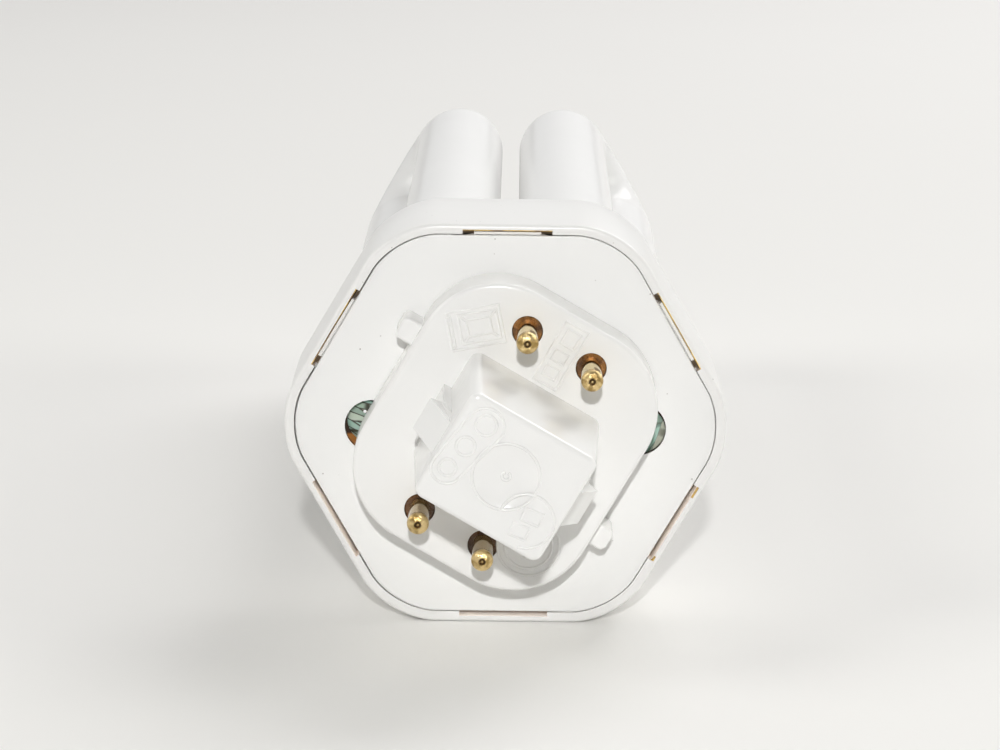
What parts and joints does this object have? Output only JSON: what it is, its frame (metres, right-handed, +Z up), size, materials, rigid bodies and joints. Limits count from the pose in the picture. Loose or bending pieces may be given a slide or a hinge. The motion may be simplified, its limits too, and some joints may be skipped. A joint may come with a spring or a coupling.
{
  "type": "compact fluorescent lamp",
  "caption": "Four pin plug-in compact fluorescent lamp: white hexagonal base, keyed plug with brass pins and three bent glass tubes, lying on one flat of its base.",
  "frame": {"origin": "On the table under the middle of the lamp's box: half way along its length, under its axis.", "axes": "+Y runs along the lamp's axis from the plug to the far ends of the tubes, +Z is up from the flat that the base lies on, +X is to the right as seen from the plug."},
  "size_m": [0.0488, 0.1514, 0.045],
  "materials": {
    "white_gloss_plastic": "white, slightly glossy, moulded",
    "white_satin_plastic": "white, satin, moulded",
    "brass": "turned, bright",
    "phosphor_coated_glass": "clear glass coated white inside",
    "white_cement": "matt, cast in place",
    "nickel_wire": "bare drawn wire"
  },
  "bodies": {
    "root": {"housing": "white_gloss_plastic", "end_cover": "white_satin_plastic", "plug": "white_satin_plastic", "contact_pin_1": "brass", "contact_pin_2": "brass", "contact_pin_3": "brass", "contact_pin_4": "brass", "discharge_tube": "phosphor_coated_glass", "tube_cement": "white_cement", "lead_wire_1": "nickel_wire", "lead_wire_2": "nickel_wire", "lead_wire_3": "nickel_wire", "lead_wire_4": "nickel_wire"}
  },
  "joints": []
}
